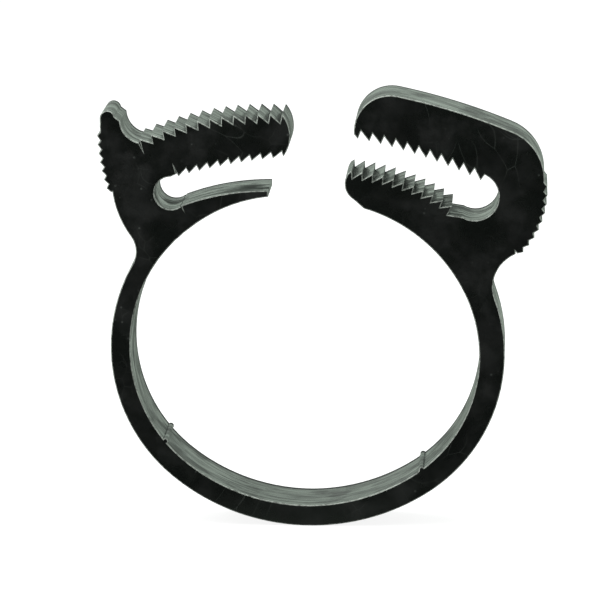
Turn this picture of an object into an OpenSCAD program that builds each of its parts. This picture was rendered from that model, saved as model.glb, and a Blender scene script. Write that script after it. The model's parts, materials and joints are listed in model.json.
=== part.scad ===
// Double-grip ratchet hose clamp, moulded in one piece of black nylon and standing open.
// X runs across the clamp, Y along the hose, Z up. The origin is the middle of the hoop,
// half way through the width. All sizes are in millimetres.
//
// The real clamp is one springy moulding. Each node here is a stretch of it with its own job:
// the links that the band bends at, the two heads, the tongue and jaws, and their teeth.

/* [Moulding] */
// Width of the whole clamp along the hose
width = 8.5; // [6:0.1:12]

/* [Hoop] */
// Middle of the hoop down to the middle of the band at its lowest point
hoop_depth = 18.8; // [17:0.1:22.6]
// Centre-line radius of the flatter bottom arc
bottom_r = 20.6; // [18:0.1:25]
// Centre-line radius of the left side arc
left_r = 16.1; // [14:0.1:19]
// Centre-line radius of the right side arc
right_r = 15.6; // [14:0.1:19]
// How far the bottom arc turns to the left of the lowest point, in degrees
left_turn = 39; // [30:1:44]
// How far the bottom arc turns to the right of the lowest point, in degrees
right_turn = 33; // [26:1:40]
// Where the left side arc meets its head, in degrees from +X
left_end_angle = 163; // [158:1:168]
// Where the right side arc meets its head, in degrees from +X
right_end_angle = 8; // [2:1:12]
// Band thickness at the bottom
bottom_t = 2.1; // [1.6:0.05:2.6]
// Band thickness at the left head
left_t = 1.95; // [1.6:0.05:2.3]
// Band thickness at the right head
right_t = 2.6; // [2.1:0.05:3]

/* [Flexing] */
// Links of the band on each side of the bottom
links = 6; // [4:1:8]
// Half the length of the link at the very bottom
root_half = 1.7; // [1:0.1:2.5]
// Gap between the links
link_gap = 0.06; // [0.03:0.01:0.1]
// Angle that each flexing strip is free to turn in its root, in degrees
strip_relief = 4; // [2:0.5:6]
// Radius of the knuckle that the upper jaw flexes on
jaw_knuckle_r = 1.5; // [1:0.1:1.8]
// Radius of the knuckle that the guard strip flexes on
guard_knuckle_r = 0.75; // [0.5:0.05:0.95]

/* [Tongue] */
// Number of teeth on the outside of the tongue
tongue_top_teeth_count = 13; // [8:1:13]
// Number of teeth on the inside of the tongue
tongue_bottom_teeth_count = 11; // [8:1:11]
// Height of the outer teeth
tongue_top_depth = 0.85; // [0.5:0.05:1]
// Height of the inner teeth
tongue_bottom_depth = 0.6; // [0.4:0.05:0.8]
// Radius of the rounded end of the tongue
tongue_end_r = 3.4; // [3:0.1:4]

/* [Jaws] */
// Number of teeth under the upper jaw
upper_teeth_count = 12; // [8:1:12]
// Number of teeth on the lower jaw
lower_teeth_count = 11; // [8:1:11]
// Height of the upper jaw's teeth
upper_depth = 0.85; // [0.5:0.05:1]
// Height of the lower jaw's teeth
lower_depth = 0.75; // [0.5:0.05:0.9]
// Radius of the rounded throat that the two jaws open from
throat_r = 2.4; // [2:0.05:2.6]
// Radius of the upper jaw's nose
nose_r = 3.6; // [3:0.1:3.8]

/* [Guard] */
// Radius of the rounded end of the slot under the tongue
slot_r = 1.65; // [1.3:0.05:1.9]
// Thickness of the guard strip at its tip
guard_tip_t = 0.62; // [0.4:0.02:1]

/* [Grips] */
// Ribs on the left head, where pliers bite
left_ribs_count = 7; // [5:1:7]
// Ribs on the right head
right_ribs_count = 9; // [6:1:9]
// Height of the ribs
rib_depth = 0.32; // [0.2:0.02:0.4]

/* [Hidden] */
$fn = 48;

black = [0.08, 0.09, 0.08];
backing = 0.25;    // strip under each row of teeth, which carries it on its core
tooth_lean = 0.12; // where a tooth's tip lies across its pitch: 0 is over the steep flank
rib_lean = 0.4;    // the same for the ribs of the grips
far = 60;          // longer than anything it cuts

// ---- points on arcs ----
function at(centre, r, a) = centre + r * [cos(a), sin(a)];
function arc(centre, r, a0, a1, steps = 12) =
    [for (i = [0:steps]) at(centre, r, a0 + (a1 - a0) * i / steps)];
function angle_to(from, to) = atan2(to[1] - from[1], to[0] - from[0]);
// where the ray from a point at angle a leaves a circle that holds the point
function ray_to_circle(from, a, c, r) = let (d = from - c, b = d * [cos(a), sin(a)])
    at(from, sqrt(b * b + r * r - d * d) - b, a);

// ---- the hoop: a flatter bottom arc with a tighter arc on each side, all tangent ----
// s is the length along the centre line from the lowest point, side is -1 left and +1 right
deg = 180 / PI;
bottom_c = [0, bottom_r - hoop_depth];
left_c = at(bottom_c, bottom_r - left_r, 270 - left_turn);
right_c = at(bottom_c, bottom_r - right_r, 270 + right_turn);
left_flat = left_turn / deg * bottom_r;
right_flat = right_turn / deg * bottom_r;
left_span = left_flat + (270 - left_turn - left_end_angle) / deg * left_r;
right_span = right_flat + (90 - right_turn + right_end_angle) / deg * right_r;

function span(side) = side < 0 ? left_span : right_span;
function flat(side) = side < 0 ? left_flat : right_flat;
function side_r(side) = side < 0 ? left_r : right_r;
function side_c(side) = side < 0 ? left_c : right_c;
function side_t(side) = side < 0 ? left_t : right_t;
function turn(side) = side < 0 ? left_turn : right_turn;

function band_angle(side, s) = s < flat(side)
    ? 270 + side * s / bottom_r * deg
    : 270 + side * (turn(side) + (s - flat(side)) / side_r(side) * deg);
function band_t(side, s) = bottom_t + (side_t(side) - bottom_t) * s / span(side);
// a point of the band: across is 0 on the centre line, 1 on its outer and -1 on its inner face
function band_point(side, s, across) = at(
    s < flat(side) ? bottom_c : side_c(side),
    (s < flat(side) ? bottom_r : side_r(side)) + across * band_t(side, s) / 2,
    band_angle(side, s));
function band_outline(side, s0, s1, steps = 7) = concat(
    [for (i = [0:steps]) band_point(side, s0 + (s1 - s0) * i / steps, 1)],
    [for (i = [steps:-1:0]) band_point(side, s0 + (s1 - s0) * i / steps, -1)]);

function link_length(side) = (span(side) - root_half) / links;
function pivot_s(side, i) = root_half + i * link_length(side);
function pivot(side, i) = band_point(side, pivot_s(side, i), 0);
left_end = pivot(-1, links);
right_end = pivot(1, links);

// ---- rows of teeth along an arc ----
// the toothed edge runs from angle a0 in steps of pitch. r is the radius of the valleys, and a
// positive depth points the teeth outwards
function toothed(c, r, depth, a0, pitch, count, lean) = concat(
    [for (i = [0:count - 1], k = [0, 1])
        at(c, k == 0 ? r : r + depth, a0 + pitch * (i + (k == 0 ? 0 : lean)))],
    [at(c, r, a0 + pitch * count)]);
function rooted(c, r, a0, pitch, count) = [for (i = [0:count]) at(c, r, a0 + pitch * i)];
function backwards(points) = [for (i = [len(points) - 1:-1:0]) points[i]];

// an outline run anticlockwise, whichever way its points were listed
function twice_area(points, i = 0) = i == len(points) ? 0
    : cross(points[i], points[(i + 1) % len(points)]) + twice_area(points, i + 1);
module outline(points) {
    polygon(twice_area(points) > 0 ? points : backwards(points));
}

// ---- left head, measured from the last link ----
waist_left_r = 2.55;
waist_left_a = 150.4;
waist_left_c = at(left_c, left_r + left_t / 2 + waist_left_r, waist_left_a);
grip_left_c = left_end + [16.87, 17.35];
grip_left_r = 19.5;
grip_left_a = 181;
grip_left_pitch = 2.6;
grip_foot = at(grip_left_c, grip_left_r - backing / 2,
    grip_left_a + grip_left_pitch * left_ribs_count);
// the shoulder leaves the waist smoothly and ends at the grip's foot, which gives its radius
shoulder_a = 216.5;
shoulder_start = at(waist_left_c, waist_left_r, shoulder_a - 180);
shoulder_rise = grip_foot - shoulder_start;
shoulder_r = shoulder_rise * shoulder_rise
    / (2 * shoulder_rise * at([0, 0], 1, shoulder_a - 180));
shoulder_c = at(waist_left_c, waist_left_r + shoulder_r, shoulder_a - 180);
hook_tip_c = left_end + [-1.9, 18.4];
hook_tip_r = 0.75;
hook_hollow_c = left_end + [1.73, 18.25];
hook_hollow_r = 2.35;
hook_inside_a = 183; // where the hook's inner face starts, under its tip
hook_foot_a = 225;   // where the hook stands on the head
hook_heel_a = 258;   // where its hollow meets the first tooth
slot_c = left_end + [4.41, 10.9];
tongue_end_c = left_end + [12.95, 16.7];
top_rack_c = left_end + [13.75, -12.28];
top_tip_r = 31.2;
top_root_r = top_tip_r - tongue_top_depth - backing;
top_rack_a = 113.8;
top_rack_pitch = -2.233;
head_teeth = 3;   // outer teeth that stand on the head's block, before the free tongue
bottom_rack_c = left_end + [20.59, -40.33];
bottom_tip_r = 55.1;
bottom_root_r = bottom_tip_r + tongue_bottom_depth + backing;
bottom_rack_a = 106.35;
bottom_rack_pitch = -1.11;
guard_top_c = left_end + [13.93, -12.84];
guard_top_r = 24.04;
guard_tip_a = 89.5;
guard_ease_a = 0.6; // how far round the strip's top its root starts to thicken
guard_root_a = angle_to(left_c, slot_c);
guard_root_point = at(slot_c, slot_r, guard_root_a + 180);
guard_pivot = (guard_root_point + at(left_c, left_r - left_t / 2, guard_root_a)) / 2;
guard_tip_under = at(guard_top_c, guard_top_r - guard_tip_t, guard_tip_a);
// the underside follows the hoop's inner face and rises a little towards the tip
guard_under = [for (i = [0:16]) let (f = 1 - i / 16, in_r = left_r - left_t / 2) at(left_c,
    in_r + f * (norm(guard_tip_under - left_c) - in_r),
    guard_root_a + f * (angle_to(left_c, guard_tip_under) - guard_root_a))];

// ---- right head, measured from the last link ----
waist_right_r = 2.9;
waist_right_a = 20.2;
waist_right_c = at(right_c, right_r + right_t / 2 + waist_right_r, waist_right_a);
waist_right_turn = 99;
waist_right_flare = 0.7; // the waist opens out by this much towards the grip
waist_right = [for (i = [0:12]) let (f = i / 12) at(waist_right_c,
    waist_right_r + waist_right_flare * f * f, waist_right_a + 180 - waist_right_turn * f)];
grip_right_c = right_end + [-3.24, 14.42];
grip_right_r = 8.5;
grip_right_a = 6.5;
grip_right_pitch = -5.89;
nose_c = right_end + [-10.12, 20.47];
nose_top_a = 78.2;
nose_top = at(nose_c, nose_r, nose_top_a);
jaw_top_r = 65.85;
jaw_top_c = at(nose_c, nose_r - jaw_top_r, nose_top_a);
corner_top_a = 67.8;
corner_foot_a = -2.7;
corner_r = 5.2;
corner_c = at(jaw_top_c, jaw_top_r - corner_r, corner_top_a);
throat_c = right_end + [-1.67, 13.97];
throat_foot_a = -120; // where the throat meets the lower jaw
upper_rack_c = right_end + [-24.7, -34.54];
upper_tip_r = 55.4;
upper_root_r = upper_tip_r + upper_depth + backing;
upper_foot_a = 66;
upper_rack_a = 64.65;
upper_rack_pitch = 1.214;
lower_rack_c = right_end + [-15.82, -5.06];
lower_tip_r = 21.65;
lower_root_r = lower_tip_r - lower_depth - backing;
lower_rack_a = 56.3;
lower_rack_pitch = 2.83;
lower_under_r = 16.4;
lower_under_a = 24;
lower_under_c = at(right_c, right_r - right_t / 2 - lower_under_r, lower_under_a);
chin_a = 73.5;
lower_chin = at(lower_under_c, lower_under_r, chin_a);
lower_tip_c = right_end + [-12.77, 15.17];
lower_end_r = 1.85;
lower_end_a = 240; // where the rounded tip meets the straight chin
jaw_split_a = 30;
jaw_split_in = at(throat_c, throat_r, jaw_split_a);
jaw_split_out = ray_to_circle(throat_c, jaw_split_a, corner_c, corner_r);
jaw_pivot = (jaw_split_in + jaw_split_out) / 2;
lower_split_in = at(lower_under_c, lower_under_r,
    angle_to(lower_under_c, at(throat_c, throat_r, throat_foot_a)));

// a row of teeth with the strip that carries it
module rack(c, r, depth, strip, a0, pitch, count, lean) {
    outline(concat(toothed(c, r, depth, a0, pitch, count, lean),
                   backwards(rooted(c, r + strip, a0, pitch, count))));
}

// what a head gives up to a flexing strip's knuckle, and the wedge that lets the strip turn.
// The two meet along a line through the pivot, and a points along it to the side that closes
module strip_socket(pivot, a, knuckle_r) {
    translate(pivot) circle(r = knuckle_r + link_gap);
    translate(pivot) rotate(a) polygon([[0, 0.01], [far / 8, 0.01],
        at([0, 0], far / 8, -strip_relief), [0, -link_gap]]);
}

// a flat shape in X and Z, made as wide as the clamp
module moulded() {
    color(black) rotate([90, 0, 0]) linear_extrude(height = width, center = true) children();
}

// ---- the band ----
module band_bottom() {
    moulded() intersection() {
        union() {
            outline(band_outline(-1, 0, root_half * 1.2));
            outline(band_outline(1, 0, root_half * 1.2));
        }
        translate([-root_half, -far]) square([2 * root_half, far]);
    }
}

// one link: it turns on a round knuckle in the hollow end of the link before it. The first
// link meets the bottom one flat, because there the band twists
module band_link(side, i) {
    s0 = pivot_s(side, i - 1);
    s1 = pivot_s(side, i);
    moulded() difference() {
        union() {
            outline(band_outline(side, i == 1 ? 0 : s0, s1));
            if (i > 1) translate(pivot(side, i - 1)) circle(r = band_t(side, s0) / 2);
        }
        translate(pivot(side, i)) circle(r = band_t(side, s1) / 2 + link_gap);
        if (i == 1)
            translate([-root_half - link_gap, -far]) square([2 * (root_half + link_gap), far]);
    }
}

// ---- left head ----
// the head's block, from the band's last link up past the grip and round the end of the slot
module left_head() {
    moulded() difference() {
        union() {
            outline(concat(
                arc(left_c, left_r + left_t / 2, left_end_angle, waist_left_a, 4),
                arc(waist_left_c, waist_left_r, waist_left_a - 180, shoulder_a - 180),
                arc(shoulder_c, shoulder_r, shoulder_a, angle_to(shoulder_c, grip_foot) + 360, 6),
                backwards(rooted(grip_left_c, grip_left_r - backing, grip_left_a,
                                 grip_left_pitch, left_ribs_count)),
                arc(hook_hollow_c, hook_hollow_r, hook_foot_a, hook_heel_a, 6),
                [at(top_rack_c, top_tip_r - tongue_top_depth, top_rack_a)],
                rooted(top_rack_c, top_root_r, top_rack_a, top_rack_pitch, head_teeth),
                arc(slot_c, slot_r, 90, guard_root_a + 180, 16),
                arc(left_c, left_r - left_t / 2, guard_root_a, left_end_angle, 8)
            ));
            translate(left_end) circle(r = left_t / 2);
        }
        strip_socket(guard_pivot, guard_root_a + 180, guard_knuckle_r);
    }
}

// the horn over the tongue's root
module left_hook() {
    moulded() outline(concat(
        [at(grip_left_c, grip_left_r - backing, grip_left_a),
         at(grip_left_c, grip_left_r, grip_left_a)],
        arc(hook_tip_c, hook_tip_r, 180, 10),
        arc(hook_hollow_c, hook_hollow_r, hook_inside_a, hook_foot_a, 6)
    ));
}

module left_grip_ribs() {
    moulded() rack(grip_left_c, grip_left_r, rib_depth, -backing, grip_left_a,
                   grip_left_pitch, left_ribs_count, rib_lean);
}

// everything of the tongue that its rounded end leaves standing
module tongue_reach() {
    translate(tongue_end_c) circle(r = tongue_end_r);
    translate(tongue_end_c - [far, far / 2]) square([far, far]);
}

module tongue() {
    moulded() intersection() {
        outline(concat(
            [slot_c + [0, slot_r]],
            rooted(top_rack_c, top_root_r, top_rack_a + top_rack_pitch * head_teeth,
                   top_rack_pitch, tongue_top_teeth_count - head_teeth),
            backwards(rooted(bottom_rack_c, bottom_root_r, bottom_rack_a, bottom_rack_pitch,
                             tongue_bottom_teeth_count)),
            [at(bottom_rack_c, bottom_tip_r + tongue_bottom_depth / 2, bottom_rack_a)]
        ));
        tongue_reach();
    }
}

module tongue_outer_teeth() {
    moulded() intersection() {
        rack(top_rack_c, top_tip_r - tongue_top_depth, tongue_top_depth, -backing, top_rack_a,
             top_rack_pitch, tongue_top_teeth_count, tooth_lean);
        tongue_reach();
    }
}

module tongue_inner_teeth() {
    moulded() intersection() {
        rack(bottom_rack_c, bottom_tip_r + tongue_bottom_depth, -tongue_bottom_depth, backing,
             bottom_rack_a, bottom_rack_pitch, tongue_bottom_teeth_count, tooth_lean);
        tongue_reach();
    }
}

// the thin springy strip that keeps the lower jaw off the hose
module guard_strip() {
    moulded() union() {
        outline(concat(
            arc(slot_c, slot_r, guard_root_a + 180, guard_root_a + 183, 1),
            arc(guard_top_c, guard_top_r, angle_to(guard_top_c, guard_root_point) - guard_ease_a,
                guard_tip_a, 16),
            guard_under
        ));
        translate(guard_pivot) circle(r = guard_knuckle_r);
    }
}

// ---- right head ----
// the head's block, from the band's last link round the back of the throat
module right_head() {
    moulded() difference() {
        union() {
            outline(concat(
                arc(right_c, right_r + right_t / 2, right_end_angle, waist_right_a, 4),
                waist_right,
                backwards(rooted(grip_right_c, grip_right_r - backing, grip_right_a,
                                 grip_right_pitch, right_ribs_count)),
                arc(corner_c, corner_r, corner_foot_a, angle_to(corner_c, jaw_split_out), 8),
                arc(throat_c, throat_r, jaw_split_a, throat_foot_a, 16),
                [lower_split_in],
                arc(lower_under_c, lower_under_r, angle_to(lower_under_c, lower_split_in),
                    lower_under_a, 10),
                arc(right_c, right_r - right_t / 2, lower_under_a - 3, right_end_angle, 6)
            ));
            translate(right_end) circle(r = right_t / 2);
        }
        strip_socket(jaw_pivot, jaw_split_a, jaw_knuckle_r);
    }
}

module right_grip_ribs() {
    moulded() rack(grip_right_c, grip_right_r, rib_depth, -backing, grip_right_a,
                   grip_right_pitch, right_ribs_count, rib_lean);
}

// everything of the lower jaw that its rounded end leaves standing
module lower_jaw_reach() {
    translate(lower_tip_c) circle(r = lower_end_r);
    polygon([lower_tip_c + [0, far / 2], lower_tip_c + [far, far / 2],
        lower_tip_c + [far, -far / 2], lower_chin + [0, -far / 2], lower_chin,
        at(lower_tip_c, lower_end_r, lower_end_a)]);
}

// everything of the upper jaw that its rounded nose leaves standing
module upper_jaw_reach() {
    translate(nose_c) circle(r = nose_r);
    translate(nose_top - [0, far / 2]) square([far, far]);
}

module upper_jaw() {
    moulded() union() {
        intersection() {
            outline(concat(
                arc(throat_c, throat_r, jaw_split_a, upper_foot_a, 6),
                rooted(upper_rack_c, upper_root_r, upper_rack_a, upper_rack_pitch,
                       upper_teeth_count),
                [nose_c + [-nose_r - 1, 0], nose_c + [-nose_r - 1, nose_r + 1],
                 [nose_top[0], nose_c[1] + nose_r + 1]],
                arc(jaw_top_c, jaw_top_r, nose_top_a, corner_top_a),
                arc(corner_c, corner_r, corner_top_a, angle_to(corner_c, jaw_split_out), 8)
            ));
            upper_jaw_reach();
        }
        translate(jaw_pivot) circle(r = jaw_knuckle_r);
    }
}

module upper_jaw_teeth() {
    moulded() intersection() {
        rack(upper_rack_c, upper_tip_r + upper_depth, -upper_depth, backing, upper_rack_a,
             upper_rack_pitch, upper_teeth_count, tooth_lean);
        upper_jaw_reach();
    }
}

module lower_jaw() {
    moulded() intersection() {
        outline(concat(
            [at(throat_c, throat_r, throat_foot_a)],
            rooted(lower_rack_c, lower_root_r, lower_rack_a, lower_rack_pitch, lower_teeth_count),
            [lower_tip_c - [lower_end_r + 1, 0], lower_tip_c - [lower_end_r + 1, lower_end_r + 1]],
            arc(lower_under_c, lower_under_r, chin_a, angle_to(lower_under_c, lower_split_in), 10)
        ));
        lower_jaw_reach();
    }
}

module lower_jaw_teeth() {
    moulded() intersection() {
        rack(lower_rack_c, lower_tip_r - lower_depth, lower_depth, -backing, lower_rack_a,
             lower_rack_pitch, lower_teeth_count, tooth_lean);
        lower_jaw_reach();
    }
}

band_bottom();
for (i = [1:links]) {
    band_link(-1, i);
    band_link(1, i);
}
left_head();
left_hook();
left_grip_ribs();
tongue();
tongue_outer_teeth();
tongue_inner_teeth();
guard_strip();
right_head();
right_grip_ribs();
upper_jaw();
upper_jaw_teeth();
lower_jaw();
lower_jaw_teeth();
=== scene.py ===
import json
import math

import bmesh
import bpy
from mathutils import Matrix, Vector
from mathutils.geometry import delaunay_2d_cdt


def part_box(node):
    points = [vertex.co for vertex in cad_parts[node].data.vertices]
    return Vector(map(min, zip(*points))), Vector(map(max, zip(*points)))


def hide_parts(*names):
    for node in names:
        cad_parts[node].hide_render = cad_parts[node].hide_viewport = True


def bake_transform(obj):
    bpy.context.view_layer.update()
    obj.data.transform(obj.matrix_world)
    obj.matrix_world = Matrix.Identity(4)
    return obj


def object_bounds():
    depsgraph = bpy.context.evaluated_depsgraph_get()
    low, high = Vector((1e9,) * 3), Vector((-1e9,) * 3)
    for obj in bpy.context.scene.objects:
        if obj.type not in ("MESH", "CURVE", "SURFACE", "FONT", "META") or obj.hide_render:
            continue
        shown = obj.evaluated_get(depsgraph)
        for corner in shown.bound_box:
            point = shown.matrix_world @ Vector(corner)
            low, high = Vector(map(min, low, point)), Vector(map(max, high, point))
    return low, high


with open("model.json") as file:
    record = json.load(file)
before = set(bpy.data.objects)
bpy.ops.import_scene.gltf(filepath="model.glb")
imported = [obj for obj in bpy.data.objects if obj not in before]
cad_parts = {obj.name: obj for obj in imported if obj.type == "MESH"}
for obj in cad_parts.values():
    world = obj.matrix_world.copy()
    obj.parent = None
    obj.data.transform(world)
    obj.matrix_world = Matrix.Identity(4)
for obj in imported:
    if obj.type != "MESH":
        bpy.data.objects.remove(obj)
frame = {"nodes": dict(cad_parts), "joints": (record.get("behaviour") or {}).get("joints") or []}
cad_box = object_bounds()

# ---------------------------------------------------------------- the nylon
# The whole clamp is one injection moulding of black PA66 nylon, made in a plainly finished
# mould. The skin is glossy but a little wavy, streaked along the outline by the mould's
# milling, scuffed and specked by handling, and its rims carry a painted highlight, a pale line.


def linear(hex_colour):
    """An sRGB hex colour as linear red, green, blue and alpha."""
    parts = [int(hex_colour[i : i + 2], 16) / 255 for i in (1, 3, 5)]
    return [p / 12.92 if p <= 0.04045 else ((p + 0.055) / 1.055) ** 2.4 for p in parts] + [1]


def add(tree, kind, links=None, values=None, stops=(), **settings):
    """Adds a node with its settings, socket values, links, and a colour ramp's stops. A link
    from a node is from its first output. A stop that is a number is a grey."""
    node = tree.nodes.new(kind)
    for key, value in settings.items():
        setattr(node, key, value)
    for key, value in (values or {}).items():
        node.inputs[key].default_value = value
    for key, source in (links or {}).items():
        if isinstance(source, bpy.types.Node):
            source = source.outputs[0]
        tree.links.new(source, node.inputs[key])
    for i, (place, tone) in enumerate(stops):
        stop = node.color_ramp.elements[i] if i < 2 else node.color_ramp.elements.new(place)
        stop.position = place
        stop.color = [tone] * 3 + [1] if isinstance(tone, float) else linear(tone)
    return node


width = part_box("band_bottom")[1].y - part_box("band_bottom")[0].y
edge_rounding = 0.00010  # rounding of the moulding's edges

nylon = bpy.data.materials.new("moulded_black_nylon")
nylon.use_nodes = True
tree = nylon.node_tree
tree.nodes.clear()
spot = add(tree, "ShaderNodeTexCoord")
place = spot.outputs["Object"]
across = add(tree, "ShaderNodeSeparateXYZ", {0: place}).outputs["Y"]
facing = add(tree, "ShaderNodeSeparateXYZ", {0: spot.outputs["Normal"]}).outputs["Y"]

# Flow marks: soft clouds about 4 mm wide, where the melt cooled unevenly.
clouds = add(tree, "ShaderNodeTexNoise", {"Vector": place},
             {"Scale": 260.0, "Detail": 4.0, "Roughness": 0.6})
# Milling marks of the mould's walls: streaks 0.3 mm wide that run along the outline.
along_wall = add(tree, "ShaderNodeMapping", {"Vector": place}, {"Scale": (0.10, 1.0, 0.10)})
streaks = add(tree, "ShaderNodeTexNoise", {"Vector": along_wall},
              {"Scale": 2400.0, "Detail": 3.0, "Roughness": 0.6})
# The skin's fine waviness, about 0.4 mm.
ripple = add(tree, "ShaderNodeTexNoise", {"Vector": place},
             {"Scale": 2600.0, "Detail": 3.0, "Roughness": 0.55})
# Specks of dust 0.12 mm across, in patches.
cells = add(tree, "ShaderNodeTexVoronoi", {"Vector": place}, {"Scale": 900.0})
specks = add(tree, "ShaderNodeValToRGB", {"Fac": cells}, stops=[(0.08, 1.0), (0.13, 0.0)])
patches = add(tree, "ShaderNodeValToRGB", {"Fac": clouds}, stops=[(0.50, 0.0), (0.60, 1.0)])
dust = add(tree, "ShaderNodeMath", {0: specks, 1: patches}, operation="MULTIPLY")
# Scuffs: curved hairlines from handling, about 0.06 mm wide, in other patches.
drift = add(tree, "ShaderNodeTexNoise", {"Vector": place}, {"Scale": 140.0, "Detail": 0.0})
bent = add(tree, "ShaderNodeVectorMath", {0: drift.outputs["Color"]}, {1: (0.012, 0.012, 0.012)},
           operation="MULTIPLY")
bent = add(tree, "ShaderNodeVectorMath", {0: bent, 1: place}, operation="ADD")
arcs = add(tree, "ShaderNodeTexVoronoi", {"Vector": bent}, {"Scale": 330.0},
           feature="DISTANCE_TO_EDGE")
hairlines = add(tree, "ShaderNodeValToRGB", {"Fac": arcs}, stops=[(0.006, 1.0), (0.016, 0.0)])
rubbed = add(tree, "ShaderNodeValToRGB", {"Fac": add(tree, "ShaderNodeTexNoise", {"Vector": place},
                                                     {"Scale": 190.0, "Detail": 2.0})},
             stops=[(0.52, 0.0), (0.66, 0.6)])
scuffs = add(tree, "ShaderNodeMath", {0: hairlines, 1: rubbed}, operation="MULTIPLY")
marks = add(tree, "ShaderNodeMath", {0: dust, 1: scuffs}, operation="MAXIMUM")
# Rims: a painted highlight, a pale line on the rounded edge, broken up by the fine ripple noise.
from_middle = add(tree, "ShaderNodeMath", {0: across}, operation="ABSOLUTE")
at_edge = add(tree, "ShaderNodeMapRange", {"Value": from_middle},
              {"From Min": width / 2 - edge_rounding * 1.5, "From Max": width / 2 - edge_rounding})
turned = add(tree, "ShaderNodeMath", {0: facing}, operation="ABSOLUTE")
off_flat = add(tree, "ShaderNodeMapRange", {"Value": turned}, {"From Min": 0.99, "From Max": 0.90})
painted_rim_highlight = add(tree, "ShaderNodeMath", {0: at_edge, 1: off_flat}, operation="MULTIPLY")
broken = add(tree, "ShaderNodeValToRGB", {"Fac": ripple}, stops=[(0.34, 0.25), (0.56, 1.0)])
painted_rim_highlight = add(tree, "ShaderNodeMath", {0: painted_rim_highlight, 1: broken}, operation="MULTIPLY")
# The parting line: a dull strip 0.8 mm wide at the back of every wall.
parting = add(tree, "ShaderNodeMapRange", {"Value": across},
              {"From Min": width / 2 - 0.00095, "From Max": width / 2 - 0.00075})

base = add(tree, "ShaderNodeValToRGB", {"Fac": clouds}, stops=[(0.35, "#121613"), (0.65, "#1b1f1c")])
base = add(tree, "ShaderNodeMix", {"Factor": marks, "A": base}, data_type="RGBA")
base.inputs["B"].default_value = linear("#474c48")
# Mixes the painted rim highlight's pale colour into the base colour along the edges.
base = add(tree, "ShaderNodeMix", {"Factor": painted_rim_highlight, "A": base.outputs["Result"]}, data_type="RGBA")
base.inputs["B"].default_value = linear("#b4bcb3")
dull = add(tree, "ShaderNodeValToRGB", {"Fac": streaks}, stops=[(0.38, 0.12), (0.62, 0.50)])
dull = add(tree, "ShaderNodeMath", {0: patches, 2: dull}, {1: 0.20}, operation="MULTIPLY_ADD")
dull = add(tree, "ShaderNodeMath", {0: parting, 1: dull}, operation="MAXIMUM")

wavy = add(tree, "ShaderNodeBump", {"Height": clouds}, {"Strength": 0.25, "Distance": 0.00006})
wavy = add(tree, "ShaderNodeBump", {"Height": streaks, "Normal": wavy},
           {"Strength": 0.45, "Distance": 0.00003})
wavy = add(tree, "ShaderNodeBump", {"Height": ripple, "Normal": wavy},
           {"Strength": 0.12, "Distance": 0.00002})
skin = add(tree, "ShaderNodeBsdfPrincipled",
           {"Base Color": base.outputs["Result"], "Roughness": dull, "Normal": wavy}, {"IOR": 1.53})
add(tree, "ShaderNodeOutputMaterial", {"Surface": skin})

# ---------------------------------------------------------------- the outline's pieces
# The moulding is one flat outline, 8.5 mm wide, with edges worn to about a tenth of a
# millimetre. It is cut into pieces only where it bends, and each piece spans one
# hinge of the CAD model, so that the band is one smooth strip.

front_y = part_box("band_bottom")[0].y
hinge = {j["name"]: Vector(j["pos_m"]) for j in frame["joints"]}
pivots = {
    "left": [hinge["close"]] + [hinge[f"bend_left_{i}"] for i in range(2, 7)],
    "right": [hinge[f"bend_right_{i}"] for i in range(1, 7)],
}
join_gap = 0.004       # millimetres between corners of the CAD fronts that are one corner
least_area = 0.00005   # square millimetres, below which a triangle of a front is a mere line
inside_slack = 0.00001
merge_gap = 0.00009    # corners of the outline closer than this are one, so the rounding fits


def flat(p):
    """A place on the clamp's front, in millimetres."""
    return Vector((p.x * 1000, p.z * 1000))


def outline(nodes, patches=()):
    """One flat face at the front of the clamp, over the fronts of these CAD nodes and patches."""
    shapes = [[flat(p) for p in patch] for patch in patches]
    for name in nodes:
        mesh = frame["nodes"][name].data
        shapes += [[flat(mesh.vertices[v].co) for v in face.vertices]
                   for face in mesh.polygons if face.normal.y < -0.99]
    areas = [sum(a.cross(b) for a, b in zip(s, s[1:] + s[:1])) / 2 for s in shapes]
    shapes = [s if area > 0 else s[::-1] for s, area in zip(shapes, areas)
              if abs(area) > least_area]
    points, sides = [], []
    for shape in shapes:
        n = len(points)
        sides += [(n + k, n + (k + 1) % len(shape)) for k in range(len(shape))]
        points += shape
    found = delaunay_2d_cdt(points, sides, [], 0, join_gap)

    def covered(p):
        return any(all((b - a).cross(p - a) > -inside_slack
                       for a, b in zip(shape, shape[1:] + shape[:1])) for shape in shapes)

    bm = bmesh.new()
    corners = [bm.verts.new((p.x / 1000, front_y, p.y / 1000)) for p in found[0]]
    for face in found[2]:
        if covered(sum((found[0][v] for v in face), Vector((0, 0))) / len(face)):
            bm.faces.new([corners[v] for v in face])
    bmesh.ops.delete(bm, geom=[v for v in bm.verts if not v.link_faces], context="VERTS")
    bmesh.ops.dissolve_faces(bm, faces=bm.faces[:], use_verts=False)
    bmesh.ops.remove_doubles(bm, verts=bm.verts[:], dist=merge_gap)
    bmesh.ops.delete(bm, geom=[e for e in bm.edges if e.is_wire], context="EDGES")
    return bm


def cut(bm, point, normal):
    """Keeps the side that the normal points to."""
    bmesh.ops.bisect_plane(bm, geom=bm.verts[:] + bm.edges[:] + bm.faces[:], dist=1e-8,
                           plane_co=point, plane_no=normal, clear_inner=True)


seam_slack = 0.00001   # how far off a seam's plane its corners may be
seam_reach = 0.012     # no corner of a seam is further than this from its middle
corner_step = 24       # a wall that turns by more degrees at an edge has a sharp corner


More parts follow.
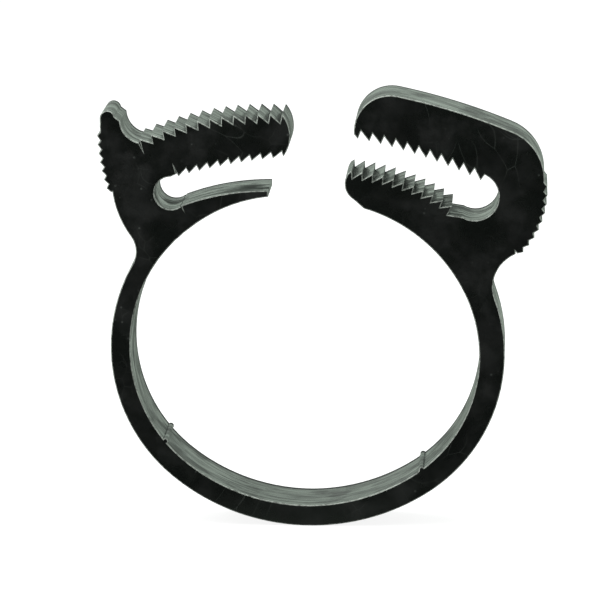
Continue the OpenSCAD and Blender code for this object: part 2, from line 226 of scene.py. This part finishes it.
def mould(bm, name, seams):
    """Gives the outline its width and worn edges, which stop at the seams, and its material.
    Along the rims only the middle of the rounding, a 45 degree step, is shaded smooth."""
    made = bmesh.ops.extrude_face_region(bm, geom=bm.faces[:], use_keep_orig=True)
    moved = [g for g in made["geom"] if isinstance(g, bmesh.types.BMVert)]
    bmesh.ops.translate(bm, vec=(0, width, 0), verts=moved)
    bmesh.ops.recalc_face_normals(bm, faces=bm.faces[:])

    def on_seam(edge):
        return any(all(abs((v.co - p).dot(n)) < seam_slack and (v.co - p).length < seam_reach
                       for v in edge.verts) for p, n in seams)

    worn = [e for e in bm.edges
            if abs(e.verts[0].co.y - e.verts[1].co.y) < 1e-7 and not on_seam(e)]
    bmesh.ops.bevel(bm, geom=worn, offset=edge_rounding, offset_type="OFFSET", segments=2,
                    profile=0.5, affect="EDGES", clamp_overlap=False, material=-1)
    bmesh.ops.triangulate(bm, faces=[f for f in bm.faces if len(f.verts) > 4])
    for face in bm.faces:
        face.smooth = True
    for edge in bm.edges:
        step = math.degrees(edge.calc_face_angle(0))
        along_rim = abs(edge.verts[0].co.y - edge.verts[1].co.y) < 1e-7
        edge.smooth = 40 < step < 60 if along_rim else step < corner_step
    mesh = bpy.data.meshes.new(name)
    bm.to_mesh(mesh)
    bm.free()
    mesh.materials.append(nylon)
    piece = bpy.data.objects.new(name, mesh)
    bpy.context.scene.collection.objects.link(piece)
    return piece


# ---------------------------------------------------------------- the band
# A springy strip of nylon, 2 mm thick at the bottom, a little thinner at the tongue's head
# and thicker at the jaws' head. Each piece runs from the middle of one link of the CAD
# model to the middle of the next and spans the hinge between them.

band_t = {"bottom": 0.0021, "left": 0.00195, "right": 0.0026}
ring_r = 0.017
bottom_mid = (hinge["side_release"] + hinge["side_release_right"]) / 2


def link_ends(side, i):
    """The hinges at the two ends of a link. The first link starts at the bottom's hinge."""
    first = hinge["side_release" if side == "left" else "side_release_right"]
    return (first if i == 1 else pivots[side][i - 2]), pivots[side][i - 1]


def middle(side, i):
    """The seam across the middle of a link: a point, and the way along the band."""
    a, b = link_ends(side, i)
    return (a + b) / 2, (b - a).normalized()


def knuckle_patch(side, i):
    """Closes the hairline round the knuckle at a hinge, where the real band runs on. One
    piece reaches the band's faces, and the other the hairline's deepest part."""
    here = pivots[side][i - 1]
    before = link_ends(side, i)[0]
    lean = middle(side, i)[1]
    if i < 6:
        ahead = (pivots[side][i] - before).normalized()
    else:
        last = middle(side, i - 1)[1]
        ahead = (lean + (lean - last) / 2).normalized()
    across = Vector((-ahead.z, 0, ahead.x))
    if across.dot(here) < 0:
        across = -across
    lengths = [(b - a).length for a, b in zip([bottom_mid] + pivots[side], pivots[side])]
    share = sum(lengths[:i]) / sum(lengths)
    half = (band_t["bottom"] + (band_t[side] - band_t["bottom"]) * share) / 2
    quads = []
    for reach, high in ((0.0006, half), (half + 0.00012, half * 0.965)):
        back = ahead * reach + across * reach * reach / (2 * ring_r)
        quads.append([here + across * high, here - across * high,
                      here - across * high - back, here + across * high - back])
    return quads


def foot_patch(side):
    """Closes the hairline between the bottom and the first link."""
    sign = -1 if side == "left" else 1
    ends = []
    for node, pick, order in (("band_bottom", max, 1), (f"band_{side}_1", min, -1)):
        fronts = [v.co for v in frame["nodes"][node].data.vertices if abs(v.co.y - front_y) < 1e-7]
        edge = pick(sign * c.x for c in fronts)
        ends += sorted([c for c in fronts if abs(sign * c.x - edge) < 1e-6],
                       key=lambda c: c.z * order)
    return ends


ridge_angle = {"left": 218, "right": 309}   # where a small ridge crosses the inner wall
ridge_r = 0.00030


def ridge_patch(side, i):
    """The ridge, if it stands between the middles of links i and i + 1: an eight-sided bar
    with its middle on the band's inner wall."""
    ends = [math.degrees(math.atan2(p.z, p.x)) % 360
            for p in (middle(side, i)[0], middle(side, i + 1)[0])]
    if not min(ends) < ridge_angle[side] < max(ends) < min(ends) + 90:
        return []
    a = math.radians(ridge_angle[side])
    way = Vector((math.cos(a), 0, math.sin(a)))
    reach = min(v.co.dot(way) for k in (i, i + 1)
                for v in frame["nodes"][f"band_{side}_{k}"].data.vertices
                if v.co.dot(way) > 0 and abs(v.co.x * way.z - v.co.z * way.x) < 0.0004)
    return [[way * reach + Vector((math.cos(t), 0, math.sin(t))) * ridge_r
             for t in (math.radians(22.5 + 45 * k) for k in range(8))]]


for side in ("left", "right"):
    sign = -1 if side == "left" else 1
    mid, along_band = middle(side, 1)
    foot = outline(["band_bottom", f"band_{side}_1"], [foot_patch(side)])
    cut(foot, Vector((0, 0, 0)), Vector((sign, 0, 0)))
    cut(foot, mid, -along_band)
    foot = mould(foot, f"band_foot_{side}", [(bottom_mid, Vector((1, 0, 0))), (mid, along_band)])
    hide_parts("band_bottom", f"band_{side}_1")
    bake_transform(foot)
    for i in range(1, 6):
        here, ahead = middle(side, i)
        there, onward = middle(side, i + 1)
        strip = outline([f"band_{side}_{i}", f"band_{side}_{i + 1}"],
                        knuckle_patch(side, i) + ridge_patch(side, i))
        cut(strip, here, ahead)
        cut(strip, there, -onward)
        strip = mould(strip, f"band_strip_{side}_{i}", [(here, ahead), (there, onward)])
        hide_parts(f"band_{side}_{i + 1}")
        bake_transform(strip)

# ---------------------------------------------------------------- the tongue's head
# The left head: a block with plier ribs down its back, a horn over the tongue's root, and
# the toothed tongue that reaches across to the jaws. It is one solid with the band's end.

guard_root = hinge["guard_spring"]
root_line = Vector((-0.5756, 0, 0.8177))   # across the guard strip at its root
guard_way = Vector((0.8177, 0, 0.5756))    # along it, towards its tip
root_half = 0.001156                       # half its thickness there
root_gap = 0.00095                         # how deep the hairline round its root is
root_patch = [guard_root + root_line * root_half, guard_root - root_line * root_half,
              guard_root - root_line * root_half - guard_way * root_gap,
              guard_root + root_line * root_half - guard_way * root_gap]
mid, along_band = middle("left", 6)
head = outline(["band_left_6", "left_head", "left_hook", "left_grip_ribs", "tongue",
                "tongue_outer_teeth", "tongue_inner_teeth"],
               knuckle_patch("left", 6) + [root_patch])
cut(head, mid, along_band)
tongue_head = mould(head, "tongue_head", [(mid, along_band), (guard_root, guard_way)])
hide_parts("left_head", "left_hook", "left_grip_ribs", "tongue",
            "tongue_outer_teeth", "tongue_inner_teeth")
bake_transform(tongue_head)

# ---------------------------------------------------------------- the guard strip
# A thin tapering leaf under the tongue, open at its tip. It springs down out of the lower
# jaw's way and keeps the jaw off the hose.

leaf = outline(["guard_strip"])
cut(leaf, guard_root, guard_way)
leaf = mould(leaf, "guard_leaf", [(guard_root, guard_way)])
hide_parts("guard_strip")
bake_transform(leaf)

# ---------------------------------------------------------------- the jaws' head
# The right head: a block with plier ribs round its back, the rounded throat, and the lower
# toothed jaw, which is stiff. The upper jaw is thinner at its root and springs up.



def round_root(a):
    """The way from the upper jaw's root at an angle in degrees."""
    return Vector((math.cos(math.radians(a)), 0, math.sin(math.radians(a))))


jaw_root = hinge["upper_jaw_spring"]
split_a = 30               # the line across the jaw's root
split_half = 0.002563      # half the jaw's thickness there
split_line = round_root(split_a)
jaw_way = Vector((-split_line.z, 0, split_line.x))   # away from the block
socket_r = 0.0016
socket_patch = [jaw_root + round_root(split_a - a) * socket_r for a in range(0, 181, 15)]
block_corner = jaw_root + round_root(25.11) * 0.002541   # where the block's outer wall ends
below_corner = jaw_root + round_root(24.2) * 0.002535
sliver_patch = [jaw_root, jaw_root + split_line * split_half, block_corner, below_corner]
mid, along_band = middle("right", 6)
head = outline(["band_right_6", "right_head", "right_grip_ribs", "lower_jaw",
                "lower_jaw_teeth"], knuckle_patch("right", 6) + [socket_patch, sliver_patch])
cut(head, mid, along_band)
jaw_head = mould(head, "jaw_head", [(mid, along_band), (jaw_root, jaw_way)])
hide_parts("right_head", "right_grip_ribs", "lower_jaw", "lower_jaw_teeth")
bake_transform(jaw_head)

jaw = outline(["upper_jaw", "upper_jaw_teeth"])
cut(jaw, jaw_root, jaw_way)
jaw = mould(jaw, "top_jaw", [(jaw_root, jaw_way)])
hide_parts("upper_jaw", "upper_jaw_teeth")
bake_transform(jaw)

# ---------------------------------------------------------------- studio
# A white floor and a white sweep behind, lit softly from above and behind. The side towards
# the camera is dim, which keeps the front of a glossy black moulding black.

floor_gap = 0.00002
bm = bmesh.new()
bmesh.ops.create_grid(bm, x_segments=1, y_segments=1, size=3)
bmesh.ops.translate(bm, vec=(0, 0, cad_box[0][2] - floor_gap), verts=bm.verts[:])
mesh = bpy.data.meshes.new("floor")
bm.to_mesh(mesh)
bm.free()
floor = bpy.data.objects.new("floor", mesh)
bpy.context.scene.collection.objects.link(floor)

paper = bpy.data.materials.new("white_paper_floor")
paper.use_nodes = True
tree = paper.node_tree
tree.nodes.clear()
seen = add(tree, "ShaderNodeLightPath")
depth = add(tree, "ShaderNodeSeparateXYZ",
            {0: add(tree, "ShaderNodeTexCoord").outputs["Object"]}).outputs["Y"]
# For glossy rays the floor is a painted reflection: an emission, near black in front of the clamp
# and pale grey-green behind it, which the walls mirror.
behind = add(tree, "ShaderNodeMapRange", {"Value": depth}, {"From Min": -0.02, "From Max": 0.02})
tone = add(tree, "ShaderNodeValToRGB", {"Fac": behind}, stops=[(0.0, 0.03), (1.0, "#b8c6b9")])
painted_floor_reflection = add(tree, "ShaderNodeEmission", {"Color": tone})
shine = add(tree, "ShaderNodeEmission", values={"Color": (0.88, 0.88, 0.88, 1)})
shine = add(tree, "ShaderNodeMixShader", {0: seen.outputs["Is Camera Ray"], 2: shine})
lit = add(tree, "ShaderNodeBsdfDiffuse", values={"Color": (0.30, 0.30, 0.30, 1)})
both = add(tree, "ShaderNodeAddShader", {0: shine, 1: lit})
look = add(tree, "ShaderNodeMixShader", {0: seen.outputs["Is Glossy Ray"], 1: both, 2: painted_floor_reflection})
add(tree, "ShaderNodeOutputMaterial", {"Surface": look})
floor.data.materials.append(paper)

world = bpy.data.worlds.new("sweep")
bpy.context.scene.world = world
world.use_nodes = True
tree = world.node_tree
tree.nodes.clear()
seen = add(tree, "ShaderNodeLightPath")
depth = add(tree, "ShaderNodeSeparateXYZ",
            {0: add(tree, "ShaderNodeTexCoord").outputs["Generated"]}).outputs["Y"]
behind = add(tree, "ShaderNodeMapRange", {"Value": depth}, {"From Min": -0.4, "From Max": 0.6})
tone = add(tree, "ShaderNodeValToRGB", {"Fac": behind}, stops=[(0.0, 0.07), (1.0, "#d6e6d8")])
sky = add(tree, "ShaderNodeMix", {"Factor": seen.outputs["Is Camera Ray"], "A": tone},
          data_type="RGBA")
sky.inputs["B"].default_value = (1, 1, 1, 1)
air = add(tree, "ShaderNodeBackground", {"Color": sky.outputs["Result"]})
add(tree, "ShaderNodeOutputWorld", {"Surface": air})

for name, stand, size, power in (
    ("softbox_top", (-0.10, 0.05, 0.35), 0.60, 2.2),
    ("softbox_left", (-0.40, -0.20, 0.18), 0.50, 1.0),
    ("softbox_right", (0.40, -0.10, 0.20), 0.50, 0.8),
):
    lamp = bpy.data.lights.new(name, "AREA")
    lamp.size = size
    lamp.energy = power
    box = bpy.data.objects.new(name, lamp)
    box.location = stand
    box.rotation_euler = (-Vector(stand)).to_track_quat("-Z", "Y").to_euler()
    bpy.context.scene.collection.objects.link(box)

# ---------------------------------------------------------------- camera
# A long lens, half a metre away, a little above and to the right of straight on. It is aimed
# just above the middle of the clamp's front.

lens = bpy.data.cameras.new("camera")
lens.sensor_width = 36
lens.lens = 296.8
lens.clip_start = 0.01
camera = bpy.data.objects.new("camera", lens)
aim = Vector((-0.0009, front_y, 0.0032))
turn, lift, distance = math.radians(2.5), math.radians(9.5), 0.4947
camera.location = aim + distance * Vector((math.sin(turn) * math.cos(lift),
                                           -math.cos(turn) * math.cos(lift), math.sin(lift)))
camera.rotation_euler = (aim - camera.location).to_track_quat("-Z", "Y").to_euler()
bpy.context.scene.collection.objects.link(camera)
bpy.context.scene.camera = camera
bpy.context.scene.view_settings.view_transform = "Standard"
